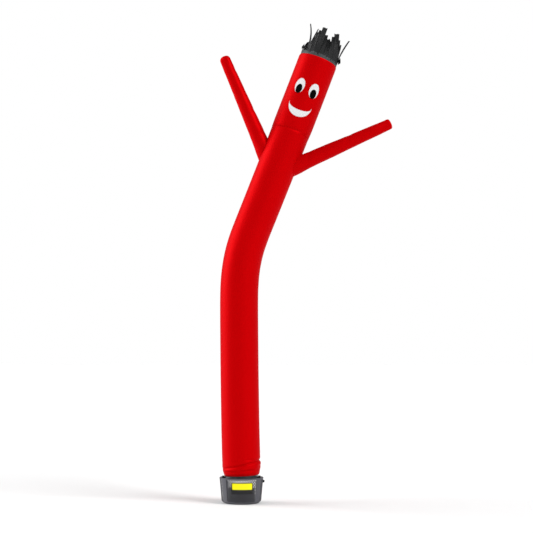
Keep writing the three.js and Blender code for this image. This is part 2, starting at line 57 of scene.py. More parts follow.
TUBE_RADIUS = 0.2285
TUBE_TOP_RADIUS = 0.234
WIDENS = 3.0  # along the tube, to where it starts to widen
HEAD_RADIUS = 0.2395
NECK = 4.248  # along the tube, from its hem to the neck seam
CROWN = 5.19  # along the tube, from its hem to the open crown
LAP = 0.01
FACE = 4.64
NECK_FLARE = 0.11
HEM_HEIGHT = 0.335
HEM_OFFSET = 0.004
LEAN_TURN = radians(-15)
SPINE_STEP = 0.01

# How many degrees the tube's line leans at a distance along it.
Lean = namedtuple("Lean", "along lean")
LEANS = [
    Lean(0, -2.2), Lean(0.4, -1.5), Lean(0.9, -0.8), Lean(1.6, -0.6), Lean(2, 0),
    Lean(2.2, 1.4), Lean(2.4, 6), Lean(2.6, 12.2), Lean(2.8, 19.2), Lean(2.95, 22),
    Lean(3.1, 22.5), Lean(3.5, 22.1), Lean(4.6, 21.8), Lean(5.3, 21.3), Lean(5.8, 21.3),
]

Section = namedtuple("Section", "along radius")
TUBE_SECTIONS = [
    Section(0, 0.204), Section(0.008, 0.209), Section(0.022, 0.213), Section(0.036, 0.216),
    Section(0.05, 0.218), Section(0.064, 0.222), Section(0.08, 0.228), Section(0.095, 0.23),
    Section(0.11, 0.229), Section(0.125, 0.228), Section(0.2, 0.228),
    Section(0.22, TUBE_RADIUS), Section(WIDENS, TUBE_RADIUS), Section(NECK, TUBE_TOP_RADIUS),
]
NECK_RADIUS = TUBE_TOP_RADIUS + GAP + CLOTH
HEAD_SECTIONS = [
    Section(NECK - LAP, NECK_RADIUS),
    Section(NECK + LAP, NECK_RADIUS),
    Section(NECK + NECK_FLARE / 2, NECK_RADIUS + 0.7 * (HEAD_RADIUS - NECK_RADIUS)),
    Section(NECK + NECK_FLARE, HEAD_RADIUS),
    Section(CROWN - 0.03, HEAD_RADIUS),
    Section(CROWN - 0.01, HEAD_RADIUS - 0.0015),
    Section(CROWN, HEAD_RADIUS - 0.005),
]

# A crease: its distance along the cloth at the front, its rise towards the right, its depth and
# half width, and the stretch that it runs round, in degrees from the front.
Fold = namedtuple("Fold", "along rise depth half at spread")
CUFF_FOLDS = [
    Fold(0.128, 0.043, 0.018, 0.012, 25, 130),
    Fold(0.196, -0.014, 0.006, 0.012, 40, 60),
    Fold(0.084, 0.026, -0.005, 0.016, -70, 80),
    Fold(0.104, 0.034, -0.006, 0.022, 80, 75),
    Fold(0.042, -0.016, 0.006, 0.01, -48, 34),
    Fold(0.058, 0.01, 0.005, 0.011, 30, 40),
    Fold(0.12, -0.03, 0.009, 0.014, 175, 70),
]

# An arm: the turn of its root, its height on the tube, its way from root to tip, the squeeze of
# its tip, and how blunt that is.
Arm = namedtuple("Arm", "name at along reach pinch blunt folds")
ARMS = [
    Arm("arm_left", -96, 3.939, Vector((-0.486, 0.04, 1.133)), 0.85, 0.2, [
        Fold(0.15, 0.04, 0.005, 0.032, 40, 80),
        Fold(0.42, 0.06, 0.004, 0.034, 70, 90),
        Fold(0.7, -0.05, 0.003, 0.03, -60, 80),
        Fold(0.98, 0.045, 0.004, 0.03, 60, 90),
    ]),
    Arm("arm_right", 82, 3.898, Vector((1.126, -0.03, 0.5)), 0.5, 1.0, [
        Fold(0.13, -0.06, 0.006, 0.034, -30, 80),
        Fold(0.33, 0.05, 0.004, 0.034, 20, 90),
        Fold(0.64, -0.07, 0.005, 0.036, -50, 90),
        Fold(0.93, 0.05, 0.005, 0.032, 0, 90),
    ]),
]
ARM_ROOT = 0.098
ARM_TIP = 0.063
ARM_FLARE = 0.007
ARM_FLARE_REACH = 0.06
ARM_PINCH = 0.24  # from the tip, where the squeeze begins
ARM_CRUMPLE = 0.16  # from the tip, where the small gathers begin
ARM_INSET = 0.2  # the sleeve may reach this far in from its seat
ARM_MOUTH = ARM_ROOT - 0.006

# A patch of the face: the turn and height of its middle, its half width in degrees, how far its
# low and high edges rise there, and its lift off the cloth.
Patch = namedtuple("Patch", "name at along half low high lift")
EYES = [
    Patch("eye_left", -23, FACE + 0.138, 14.5, -0.093, 0.093, GAP),
    Patch("eye_right", 22.3, FACE + 0.13, 14.5, -0.093, 0.093, GAP),
]
PUPILS = [
    Patch("pupil_left", -22.4, FACE + 0.099, 9, -0.058, 0.058, PATCH + 2 * GAP),
    Patch("pupil_right", 22.8, FACE + 0.092, 9, -0.058, 0.058, PATCH + 2 * GAP),
]
SMILE = Patch("smile", 0, FACE - 0.076, 36, -0.158, -0.076, GAP)

BAND_RADIUS = 0.228
BAND_RISE = 0.042
BAND_DEPTH = 0.024
BAND_THICK = 0.0015
LOCK_THICK = 0.001
NARROW_LOCK = 0.04  # locks narrower than this lie flat
SHORT_LOCK = 0.1  # and locks shorter than this have no strands beside them
LOCK_RAGGED = 0.012
STRANDS = 2
STRAND_RAGGED = 0.02
# A lock: the turn of its root, where its tip is across, in front and up, the tip's width, how far
# up it is pulled on the way, its twist, its width at the root, and how far out it is pulled.
Lock = namedtuple("Lock", "at side front tall tip knee twist width out", defaults=(0.06, 1))
LOCKS = [
    Lock(-84, -0.178, 0.07, 0.118, 0.034, 0.07, 60, width=0.076, out=0.98),
    Lock(-69, -0.238, 0.12, 0.014, 0.05, 0.128, 30, out=1.02),
    Lock(-54, -0.243, 0.15, 0.326, 0.012, 0.17, 60, width=0.032, out=0.78),
    Lock(-43, -0.13, 0.15, 0.298, 0.022, 0.15, -20, out=0.98),
    Lock(-28, -0.088, 0.178, 0.288, 0.05, 0.13, 10, out=1.01),
    Lock(-13, -0.056, 0.2, 0.33, 0.06, 0.17, 8, out=1.01),
    Lock(2, 0, 0.212, 0.246, 0.02, 0.11, -20),
    Lock(16, 0.04, 0.208, 0.214, 0.016, 0.09, 20),
    Lock(30, 0.078, 0.185, 0.266, 0.044, 0.14, -28),
    Lock(44, 0.101, 0.15, 0.322, 0.062, 0.17, -36),
    Lock(58, 0.15, 0.108, 0.266, 0.034, 0.12, -40),
    Lock(71, 0.191, 0.078, 0.226, 0.016, 0.09, 60, width=0.044),
    Lock(82, 0.254, 0.062, 0.002, 0.056, 0.138, -30),
    Lock(95, 0.27, 0.004, 0.335, 0.016, 0.15, 80, width=0.034, out=0.94),
    Lock(110, 0.19, -0.072, 0.27, 0.024, 0.11, 15, width=0.058),
    Lock(125, 0.15, -0.119, 0.332, 0.05, 0.14, -10),
    Lock(140, 0.109, -0.156, 0.33, 0.048, 0.12, 12),
    Lock(155, 0.064, -0.195, 0.304, 0.052, 0.11, -14),
    Lock(170, 0.021, -0.212, 0.318, 0.05, 0.12, 12),
    Lock(-175, -0.034, -0.207, 0.358, 0.05, 0.15, -8),
    Lock(-160, -0.082, -0.185, 0.31, 0.04, 0.1, 14),
    Lock(-145, -0.121, -0.15, 0.338, 0.046, 0.14, 10),
    Lock(-130, -0.15, -0.115, 0.29, 0.014, 0.11, -18),
    Lock(-114, -0.18, -0.064, 0.216, 0.022, 0.09, 22, width=0.058),
    Lock(-99, -0.2, -0.025, 0.142, 0.022, 0.06, -20, width=0.056),
]

DRUM_WALL = 0.004
DRUM_FLOOR = 0.005
DRUM_FOOT = 0.176
DRUM_LOW = Section(0.046, 0.238)
DRUM_RIM = Section(0.308, 0.262)
WALL_TOP = 0.3
WALL_LOW, WALL_HIGH = 0.08, 0.292  # the lowest and highest rows of the wall
DECK_HEIGHT = 0.304
RIM_WIDTH = 0.008
RIM_LIP = 0.003
SLEEVE_RADIUS = 0.1975
SLEEVE_WALL = 0.005
SLEEVE_TOP = 0.43
SLEEVE_BELOW = 0.284
FLANGE_RADIUS = 0.222
FLANGE_TOP = 0.322
PLATE_AT = 3
PLATE_CORNER = 0.007
Plate = namedtuple("Plate", "name node half low high lift")
PLATES = [
    Plate("plate_backing", "nameplate", 30, 0.126, 0.262, GAP),
    Plate("plate_face", "nameplate_face", 27.5, 0.18, 0.254, PATCH + 2 * GAP),
]
Fitting = namedtuple("Fitting", "at height radius length")
SIDE_BOLT = Fitting(85, 0.262, 0.015, 0.018)
CORD_GLAND = Fitting(175, 0.096, 0.015, 0.02)
DECK_BOLT = Fitting(66, DECK_HEIGHT, 0.013, 0.03)
DECK_BOLT_RING = 0.237
FLUTES = 12
FLUTE_DEPTH = 0.03  # a share of the radius

# Perforated bays of the drum: the turn of the middle, and the half of the stretch.
Bay = namedtuple("Bay", "at half")
BAYS = [Bay(0, 46), Bay(90, 28), Bay(180, 45), Bay(270, 28)]
HOLE_PITCH = 0.033
HOLE_ROW = 0.0185
HOLE_ACROSS, HOLE_TALL = 0.0129, 0.0145  # half diagonals of a hole
HOLES_LOW, HOLES_HIGH = 0.038, 0.283
HOLE_INNER, HOLE_OUTER = -0.03, 0.012  # a cutter's ends, from the outside of the wall
HOLE_CORNERS = [(-1, 0), (0, -1), (1, 0), (0, 1)]
HOLE_FACES = [(3, 2, 1, 0), (4, 5, 6, 7), (0, 1, 5, 4), (1, 2, 6, 5), (2, 3, 7, 6), (3, 0, 4, 7)]

# ---- Plain helpers ----


def mix(low, high, share):
    return low + (high - low) * share


def eased(share):
    share = min(max(share, 0.0), 1.0)
    return share * share * (3 - 2 * share)


def bump_at(value, middle, half):
    """1 at the middle, fading out as a bell."""
    return exp(-(((value - middle) / half) ** 2))


def value_at(rows, along):
    """The second column of a table at a distance along it, on the straight line between rows."""
    if along <= rows[0][0]:
        return rows[0][1]
    for low, high in zip(rows, rows[1:]):
        if along <= high[0]:
            return mix(low[1], high[1], (along - low[0]) / (high[0] - low[0]))
    return rows[-1][1]


def even(low, high, count):
    return [mix(low, high, step / count) for step in range(count + 1)]


def stretches(start, *parts):
    """Rows from a start on, through parts of (end, number of steps)."""
    rows = [start]
    low = start
    for high, steps in parts:
        rows += even(low, high, steps)[1:]
        low = high
    return rows


def upright(radius, turn, height):
    """A place round the upright axis. A turn counts from the front towards the right."""
    return Vector((radius * sin(turn), -radius * cos(turn), height))


def turned_apart(turn, other):
    """How far one turn is past another, the short way round."""
    return (turn - other + pi) % (2 * pi) - pi


def fold_depth(folds, along, turn):
    depth = 0
    for fold in folds:
        reach = turned_apart(turn, radians(fold.at)) / radians(fold.spread)
        if abs(reach) >= 1:
            continue
        middle = fold.along + fold.rise * sin(turn)
        depth += fold.depth * cos(reach * pi / 2) * bump_at(along, middle, fold.half)
    return depth


def ripple(turn, along, across_size, along_size, seed=0.0, radius=TUBE_RADIUS):
    """Smooth unevenness from -1 to 1 that closes on itself round a tube."""
    around = radius / across_size
    place = (around * cos(turn), around * sin(turn) + seed, along / along_size)
    return noise.noise(Vector(place))


# ---- The line of the tube ----

LEAN_SIDE = Vector((cos(LEAN_TURN), -sin(LEAN_TURN), 0))
UP = Vector((0, 0, 1))
FORWARD = Vector((0, -1, 0))


def direction_at(along):
    lean = radians(value_at(LEANS, along))
    return LEAN_SIDE * sin(lean) + UP * cos(lean)


spine = [LEAN_SIDE * HEM_OFFSET + UP * HEM_HEIGHT]
while len(spine) * SPINE_STEP <= LEANS[-1].along:
    spine.append(spine[-1] + direction_at((len(spine) - 0.5) * SPINE_STEP) * SPINE_STEP)


class Across:
    """A frame across a piece of cloth: across to its right, along it, and out to its front."""

    def __init__(self, origin, along):
        self.origin = origin
        self.along = along
        self.front = (FORWARD - along * FORWARD.dot(along)).normalized()
        self.across = along.cross(self.front)

    def at(self, across, front, along=0.0):
        return self.origin + self.across * across + self.front * front + self.along * along


@lru_cache(maxsize=4096)
def tube_frame(along):
    step = min(max(int(along / SPINE_STEP), 0), len(spine) - 1)
    direction = direction_at(along)
    return Across(spine[step] + direction * (along - step * SPINE_STEP), direction)


def on_tube(along, turn, radius):
    return tube_frame(along).at(radius * sin(turn), radius * cos(turn))


# ---- Meshes ----


def grid_mesh(name, places, flats, around=False):
    """One layer through rows of places. Flats gives where each corner lies on the flat cloth, in
    metres, with one more column than places where it closes on itself."""
    columns = len(places[0])
    spans = columns if around else columns - 1
    faces = []
    corners = []
    for row in range(len(places) - 1):
        for column in range(spans):
            after = (column + 1) % columns
            low, high = row * columns, (row + 1) * columns
            faces.append((low + column, low + after, high + after, high + column))
            corners += flats[row][column], flats[row][column + 1]
            corners += flats[row + 1][column + 1], flats[row + 1][column]
    mesh = bpy.data.meshes.new(name)
    mesh.from_pydata([place for row in places for place in row], [], faces)
    layer = mesh.uv_layers.new(name="cloth")
    layer.data.foreach_set("uv", [number for corner in corners for number in corner])
    return mesh


def welded(mesh, distance=1e-5):
    """The mesh with corners that lie together made one, and no loose ones left."""
    work = bmesh.new()
    work.from_mesh(mesh)
    bmesh.ops.remove_doubles(work, verts=work.verts, dist=distance)
    bmesh.ops.dissolve_degenerate(work, dist=distance / 10, edges=work.edges)
    loose = [corner for corner in work.verts if not corner.link_faces]
    bmesh.ops.delete(work, geom=loose, context="VERTS")
    work.to_mesh(mesh)
    work.free()
    return mesh


def settled(piece):
    """Works the piece's modifiers into its mesh."""
    graph = bpy.context.evaluated_depsgraph_get()
    mesh = bpy.data.meshes.new_from_object(piece.evaluated_get(graph))
    mesh.name = piece.name
    piece.modifiers.clear()
    piece.data = mesh
    return piece


def placed(name, data):
    """An object in the scene for a mesh, lamp or camera."""
    thing = bpy.data.objects.new(name, data)
    scene.collection.objects.link(thing)
    return thing


def made(mesh, finish, slot, thickness=0.0, sharp=40, crumpled=False):
    """A piece from its mesh: thickened inwards if it is cloth, smooth but for its sharp edges."""
    piece = placed(mesh.name, mesh)
    mesh.materials.clear()
    mesh.materials.append(finish)
    if thickness:
        solid = piece.modifiers.new("thickness", "SOLIDIFY")
        solid.thickness = thickness
        solid.offset = -1
        solid.use_even_offset = not crumpled
        settled(piece)
    piece.data.shade_smooth()
    piece.data.set_sharp_from_angle(angle=radians(sharp))
    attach(piece, "root")
    return piece


def joined(name, meshes):
    """Several meshes as one, with their flat cloth places kept."""
    work = bmesh.new()
    for mesh in meshes:
        work.from_mesh(mesh)
        bpy.data.meshes.remove(mesh)
    whole = bpy.data.meshes.new(name)
    work.to_mesh(whole)
    work.free()
    return whole


SEAM_RIDGE = 0.0012
SEAM_HALF = 0.0075
SEAM_THREAD = 0.0055  # from the seam to each of its two rows of thread
SEAM_COLUMNS = (0.004, 0.0065, 0.009)


def turns_round(count, radius):
    """Turns round a tube from the back seam, closer together at the seam's rows of thread."""
    ends = [pi - offset / radius for offset in SEAM_COLUMNS]
    clear = pi - 1.3 * SEAM_COLUMNS[-1] / radius
    plain = [turn for turn in even(-pi, pi, count)[1:-1] if abs(turn) < clear]
    return sorted([-pi, *[-turn for turn in ends], *plain, *ends])


def cloth_tube(name, rows, turns, surface, radius):
    """One layer round a tube: surface gives the place at a row's distance along and a turn."""
    places = [[surface(along, turn) for turn in turns] for along in rows]
    flats = [[(turn * radius, along) for turn in [*turns, pi]] for along in rows]
    return grid_mesh(name, places, flats, around=True)


def seam_ridge(turn, radius):
    """The lapped seam down the back stands a little proud."""
    off = (pi - abs(turn)) * radius
    return SEAM_RIDGE * eased((SEAM_HALF + 0.0015 - off) / 0.003)


# ---- Stitches ----

STITCH_PITCH = 0.0055
STITCH_LONG = 0.0042
STITCH_WIDE = 0.0011


def normal_at(surface, along, turn):
    step = 1e-3
    round_it = surface(along, turn + step) - surface(along, turn - step)
    up_it = surface(along + step, turn) - surface(along - step, turn)
    return round_it.cross(up_it).normalized()


def stitch_corners(centre, way, normal, long, wide):
    """The six corners of a stitch: a pointed bead of thread, half sunk in the cloth."""
    side = normal.cross(way).normalized() * wide / 2
    ends = way * long / 2
    low = centre - normal * wide * 0.2
    return [low - ends, low - side, low + ends, low + side, centre + normal * wide * 0.45,
            centre - normal * wide * 0.5]


STITCH_FACES = [(0, 1, 4), (1, 2, 4), (2, 3, 4), (3, 0, 4), (1, 0, 5), (2, 1, 5), (3, 2, 5), (0, 3, 5)]


def copies_mesh(name, shapes, shape_faces):
    """One mesh of many small bodies with the same faces, each given by its corners."""
    corners, faces = [], []
    for shape in shapes:
        faces += [tuple(len(corners) + corner for corner in face) for face in shape_faces]
        corners += shape
    mesh = bpy.data.meshes.new(name)
    mesh.from_pydata(corners, [], faces)
    return mesh


def sewn_along(surface, path, pitch=STITCH_PITCH, across=False, long=STITCH_LONG, wide=STITCH_WIDE):
    """Stitches at even steps on a path of (along, turn) points over a surface. Across lays each
    one square to the path, as a satin stitch round a patch is."""
    stitches = []
    walked, due = 0.0, pitch / 2
    for (along, turn), (next_along, next_turn) in zip(path, path[1:]):
        start, end = surface(along, turn), surface(next_along, next_turn)
        span = (end - start).length
        while span > 1e-7 and walked + span >= due:
            share = (due - walked) / span
            normal = normal_at(surface, mix(along, next_along, share), mix(turn, next_turn, share))
            way = (end - start).normalized()
            if across:
                way = normal.cross(way)
            stitches.append((start.lerp(end, share), way, normal, long, wide))
            due += pitch
        walked += span
    return stitches


def stitch_mesh(name, surface, paths, **look):
    """The stitches along paths over a surface. Look goes on to sewn_along."""
    stitches = [stitch for path in paths for stitch in sewn_along(surface, path, **look)]
    mesh = copies_mesh(name, [stitch_corners(*stitch) for stitch in stitches], STITCH_FACES)
    mesh.uv_layers.new(name="cloth")
    return mesh


# ---- Materials ----


class Term:
    """A value in a material. Sums on it are written out plainly and become Math nodes."""

    def __init__(self, finish, socket):
        self.finish = finish
        self.socket = socket

    def sum(self, operation, first, second):
        return self.finish.add("Math", {"operation": operation}, {0: first, 1: second})

    def __add__(self, other):
        return self.sum("ADD", self, other)

    def __radd__(self, other):
        return self.sum("ADD", other, self)

    def __mul__(self, other):
        return self.sum("MULTIPLY", self, other)

    def __pow__(self, other):
        return self.sum("POWER", self, other)


class Finish:
    """The nodes of a procedural material, or of the world."""

    def __init__(self, name, kind=bpy.data.materials):
        self.owner = kind.new(name)
        self.owner.use_nodes = True
        self.tree = self.owner.node_tree
        self.tree.nodes.clear()

    def add(self, kind, settings=None, values=None, output=0):
        """A node of a kind, with its settings, then the values or links of its sockets."""
        node = self.tree.nodes.new("ShaderNode" + kind)
        for name, setting in (settings or {}).items():
            setattr(node, name, setting)
        for socket, value in (values or {}).items():
            if isinstance(value, Term):
                self.tree.links.new(value.socket, node.inputs[socket])
            else:
                node.inputs[socket].default_value = value
        return Term(self, node.outputs[output]) if len(node.outputs) else None

    def place(self):
        """The place on the piece, in metres."""
        return self.add("TexCoord", output="Object")

    def part(self, value, number):
        return self.add("SeparateXYZ", values={0: value}, output=number)

    def flat(self):
        """The place on the flat cloth, in metres, as its two values."""
        cloth = self.add("UVMap", {"uv_map": "cloth"})
        return cloth, self.part(cloth, 0), self.part(cloth, 1)

    def cloud(self, scale, detail=3.0, stretch=(1, 1, 1), place=None):
        """Soft unevenness from 0 to 1. Scale is its lumps to the metre."""
        moved = self.add("Mapping", values={"Vector": place or self.place(), "Scale": stretch})
        sockets = {"Vector": moved, "Scale": scale, "Detail": detail}
        return self.add("TexNoise", values=sockets)

    def wave(self, value, pitch):
        """From -1 to 1 and back over each pitch of a value."""
        return self.add("Math", {"operation": "SINE"}, {0: value * (2 * pi / pitch)})

    def ribs(self, value, pitch, sharp):
        """A narrow rib from 0 to 1 at each pitch of a value."""
        return (self.wave(value, pitch) * 0.5 + 0.5) ** sharp

    def blend(self, share, low, high):
        """One colour to another by a share."""
        sockets = {0: share, 6: (*low, 1), 7: (*high, 1)}
        return self.add("Mix", {"data_type": "RGBA"}, sockets, output=2)

    def relief(self, height, distance, strength=1.0, below=None):
        sockets = {"Height": height, "Distance": distance, "Strength": strength}
        if below:
            sockets["Normal"] = below
        return self.add("Bump", values=sockets)

    def surface(self, **values):
        """Ends the material with its shader. An _ in a name stands for a space."""
        sockets = {name.replace("_", " "): value for name, value in values.items()}
        shader = self.add("BsdfPrincipled", values=sockets)
        self.add("OutputMaterial", values={"Surface": shader})
        return self.owner


THREAD_PITCH = 0.0007
RIPSTOP_PITCH = 0.0064


def weave_height(finish, across, along):
    """Threads over and under, and the heavier ripstop thread at each step of its grid."""
    threads = finish.wave(across, THREAD_PITCH) * finish.wave(along, THREAD_PITCH)
    ripstop = finish.ribs(across, RIPSTOP_PITCH, 40.0) + finish.ribs(along, RIPSTOP_PITCH, 40.0)
    return threads * 0.25 + ripstop


def nylon(name, shade, deep):
    """Coated nylon: thread and ripstop relief, soft sheen, slightly uneven dye."""
    finish = Finish(name)
    cloth, across, along = finish.flat()
    dye = finish.cloud(6.0, stretch=(1, 1, 0.4))
    handled = finish.cloud(31.0, 4.0)
    woven = finish.relief(weave_height(finish, across, along), 0.00006, 0.35)
    slack = finish.cloud(14.0, 2.0, (1, 0.35, 1), cloth)
    colour = finish.blend(dye * 0.7 + handled * 0.3, deep, shade)
    return finish.surface(
        Base_Color=colour,
        Roughness=0.42 + handled * 0.1,
        Metallic=0.24,
        Specular_IOR_Level=0.02,
        Specular_Tint=(1.0, 0.5, 0.55, 1.0),
        Normal=finish.relief(slack, 0.004, 0.5, woven),
    )


def thread(name, shade):
    finish = Finish(name)
    fuzz = finish.cloud(1800.0, 2.0)
    return finish.surface(
        Base_Color=finish.blend(fuzz, tuple(0.7 * part for part in shade), shade),
        Roughness=0.45 + fuzz * 0.2,
        Specular_IOR_Level=0.3,
        Normal=finish.relief(fuzz, 0.0002, 0.6),
    )


def felt(name, shade, wear_and_hollow_shade, shine=0.25):
    """Patch cloth: a matte face of short fibres, a little grey in its hollows: painted shade on the white
    patches.
    """
    finish = Finish(name)
    fibres = finish.cloud(700.0, 4.0)
    patches = finish.cloud(24.0)
    # The hollows of the relief take the second colour, a little grey on white felt: painted shade.
    colour = finish.blend(patches * 0.6 + fibres * 0.4, wear_and_hollow_shade, shade)
    lumps = finish.relief(patches, 0.0025, 0.4)
    return finish.surface(
        Base_Color=colour,
        Roughness=0.75 + fibres * 0.15,
        Specular_IOR_Level=shine,
        Normal=finish.relief(fibres, 0.0004, 0.5, lumps),
    )


SATIN_RIB = 0.0011


def satin(name, shade, deep, rough):
    """Satin of the hair: fine ribs along each strip and a gloss that breaks up across them."""
    finish = Finish(name)
    cloth, across, _ = finish.flat()
    streaks = finish.cloud(160.0, 4.0, (1, 0.05, 1), cloth)
    crumple = finish.cloud(60.0)
    ribs = finish.wave(across, SATIN_RIB) * 0.15 + streaks
    folded = finish.relief(crumple, 0.004, 0.5)
    return finish.surface(
        # Painted sheen and shade: the colour is lighter on the streaks and crumples that the relief
        # raises, and darker in their hollows.
        Base_Color=finish.blend(streaks * 0.6 + crumple * 0.4, deep, shade),
        Roughness=rough + streaks * 0.25,
        Specular_IOR_Level=0.3,
        Normal=finish.relief(ribs, 0.0012, 0.7, folded),
    )


DUST_REACH = 0.09  # the height above the floor that dust reaches


def moulded(name, shade, wear_and_hollow_shade, rough, grain=1.0, coat=0.0):
    """Moulded plastic: a fine pebbled grain, scuffs, and dust that has settled low down."""
    finish = Finish(name)
    pebbles = finish.cloud(900.0, 2.0)
    scuffs = finish.cloud(45.0, 6.0, stretch=(1, 1, 0.3))
    height = finish.part(finish.place(), 2)
    fades = {"Value": height, "From Max": DUST_REACH, "To Min": 0.5, "To Max": 0.0}
    dust = finish.add("MapRange", values=fades)
    wear = (scuffs ** 3.0) * 1.6 + dust * scuffs
    return finish.surface(
        Base_Color=finish.blend(wear, shade, wear_and_hollow_shade),
        Roughness=rough + scuffs * 0.2,
        Specular_IOR_Level=0.15,
        Coat_Weight=coat,
        Coat_Roughness=0.12,
        Normal=finish.relief(pebbles, 0.0003 * grain, 0.5),
    )


def painted_steel(name, shade):
    finish = Finish(name)
    speckle = finish.cloud(500.0)
    grime = finish.cloud(18.0, 5.0)
    return finish.surface(
        Base_Color=finish.blend(grime, tuple(0.6 * part for part in shade), shade),
        Roughness=0.4 + grime * 0.3,
        Specular_IOR_Level=0.2,
        Normal=finish.relief(speckle, 0.0002, 0.4),
    )


def pale_floor():
    finish = Finish("pale_floor")
    speckle = finish.cloud(3.0, 2.0)
    return finish.surface(
        Base_Color=finish.blend(speckle, (0.9, 0.9, 0.9), (0.92, 0.92, 0.92)),
        Roughness=0.85,
        Specular_IOR_Level=0.1,
    )


RED_NYLON = nylon("red_nylon_cloth", (0.56, 0.0, 0.0012), (0.51, 0.0, 0.001))
RED_THREAD = thread("red_thread", (0.46, 0.003, 0.005))
WHITE_THREAD = thread("white_thread", (0.8, 0.8, 0.81))
BLACK_THREAD = thread("black_thread", (0.012, 0.012, 0.013))
# Each felt's second colour is painted into the hollows of its relief; on the white felt it is painted
# shade.
WHITE_FELT = felt("white_patch_cloth", (0.78, 0.78, 0.79), (0.7, 0.7, 0.72))
BLACK_FELT = felt("black_patch_cloth", (0.001, 0.001, 0.001), (0.003, 0.003, 0.003), 0.02)
HAIR_SATIN = satin("black_satin", (0.012, 0.0125, 0.0135), (0.003, 0.003, 0.0035), 0.34)
# The band is the hair's black satin, painted a lighter grey because it faces the light: painted light.
BAND_SATIN_PAINTED_LIGHTER = satin("band_satin_painted_lighter", (0.06, 0.068, 0.07), (0.03, 0.036, 0.038), 0.36)
DRUM_PLASTIC = moulded("drum_grey_plastic", (0.088, 0.088, 0.102), (0.12, 0.12, 0.13), 0.38)
COLLAR_PLASTIC = moulded("collar_gloss_plastic", (0.012, 0.017, 0.02), (0.05, 0.06, 0.065), 0.14,
                         grain=0.2, coat=0.4)
KNOB_PLASTIC = moulded("knob_black_plastic", (0.01, 0.01, 0.011), (0.05, 0.05, 0.05), 0.45)
PLATE_BLACK = moulded("plate_black_plastic", (0.012, 0.012, 0.014), (0.05, 0.05, 0.05), 0.3, 0.3)
PLATE_YELLOW = moulded("plate_yellow_print", (0.96, 0.9, 0.0), (0.9, 0.84, 0.05), 0.35, 0.3)
# The motor's paint is made near black so that the drum's holes read dark: painted shade inside the drum.
MOTOR_PAINT_DARKENED_AS_SHADE = painted_steel("motor_paint_darkened_as_shade", (0.004, 0.004, 0.004))

# ---- The tube ----

NECK_CREASE = 0.013
NECK_CREASE_HALF = 0.013
BEND = 2.55  # along the tube, to the middle of its bend
HEM_STITCHES = (0.02, 0.024)
HEAD_STITCHES = (NECK - 0.005, NECK + 0.005, CROWN - 0.022, CROWN - 0.026)


def neck_crease(along, turn):
    """The cloth is drawn in at the neck seam, most in front and least at the back."""
    drawn = bump_at(turn, radians(-4), radians(46)) + 0.15 * ripple(turn, 0, 0.09, 1, 3.0)
    middle = NECK + 0.004 * ripple(turn, 0, 0.07, 1, 8.0)
    crease = NECK_CREASE * max(drawn, 0.05) * bump_at(along, middle, NECK_CREASE_HALF)
    pucker = 0.0009 * sin(turn * 41 + 3 * ripple(turn, 0, 0.1, 1, 5.0))
    return crease + pucker * bump_at(along, NECK, 0.03)


def cuff_gathers(along, turn):
    """Small pleats where the hem is drawn in round the outlet."""
    way = turn * 27 + 5 * ripple(turn, along, 0.16, 0.12, 2.0)
    pleats = 0.0016 * sin(way) * bump_at(along, 0.0, 0.05)
    return pleats + 0.0035 * ripple(turn, along, 0.085, 0.04, 11.0) * bump_at(along, 0.09, 0.075)


def slack_ripples(along, turn):
    """Long soft unevenness of blown-up cloth, with a few cross ripples inside the bend."""
    inside = eased(cos(turn - pi / 2)) * bump_at(along, BEND, 0.35)
    soft = 0.0011 * ripple(turn, along, 0.13, 0.62, 17.0)
    return soft + 0.0014 * inside * ripple(turn, along, 0.3, 0.085, 23.0)


def body_surface(along, turn):
    radius = value_at(TUBE_SECTIONS, along) - fold_depth(CUFF_FOLDS, along, turn)
    radius += cuff_gathers(along, turn) * (1 if along > 0.004 else 0.5)
    radius += slack_ripples(along, turn) * eased(along / 0.2) - neck_crease(along, turn)
    radius += seam_ridge(turn, TUBE_RADIUS) * eased(along / 0.05) * eased((NECK - LAP - along) / 0.02)
    return on_tube(along, turn, radius)


def head_surface(along, turn):
    radius = value_at(HEAD_SECTIONS, along) - neck_crease(along, turn)
    radius += slack_ripples(along, turn)
    radius += seam_ridge(turn, HEAD_RADIUS) * eased((along - NECK) / 0.02)
    return on_tube(along, turn, radius)


def in_arm(place):
    """Whether a place on the tube lies inside the root of an arm."""
    for seat in ARM_SEATS.values():
        off = place - seat.origin
        outwards = off.dot(seat.along)
        if (off - seat.along * outwards).length < ARM_MOUTH and outwards > -ARM_INSET:
            return True
    return False


def arm_seat(arm):
    """The frame across an arm where it meets the tube."""
    origin = on_tube(arm.along, radians(arm.at), value_at(TUBE_SECTIONS, arm.along))
    return Across(origin, arm.reach.normalized())


ARM_SEATS = {arm.name: arm_seat(arm) for arm in ARMS}


def cut_away(mesh, inside):
    """Takes out the faces that lie inside a space."""
    work = bmesh.new()
    work.from_mesh(mesh)
    gone = [face for face in work.faces if inside(face.calc_center_median())]
    bmesh.ops.delete(work, geom=gone, context="FACES")
    work.to_mesh(mesh)
    work.free()
    return mesh


def sewn(name, surface, rings, seam, radius, steps=180):
    """A tube's thread: a row round it at each of its rings, and two beside its back seam."""
    paths = [[(along, turn) for turn in even(-pi, pi, steps)] for along in rings]
    edge = pi - SEAM_THREAD / radius
    paths += [[(along, side * edge) for along in seam] for side in (-1, 1)]
    return made(stitch_mesh(name, surface, paths), RED_THREAD, "red_nylon")


def make_body():
    rows = stretches(0, (0.26, 52), (3.7, 110), (4.12, 28), (NECK + LAP, 22))
    mesh = cloth_tube("body_cloth", rows, turns_round(108, TUBE_RADIUS), body_surface, TUBE_RADIUS)
    body = made(cut_away(mesh, in_arm), RED_NYLON, "red_nylon", CLOTH)
    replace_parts(body, "body_tube")
    seam = even(0.03, NECK - LAP - 0.004, 220)
    threads = sewn("body_stitches", body_surface, HEM_STITCHES, seam, TUBE_RADIUS)


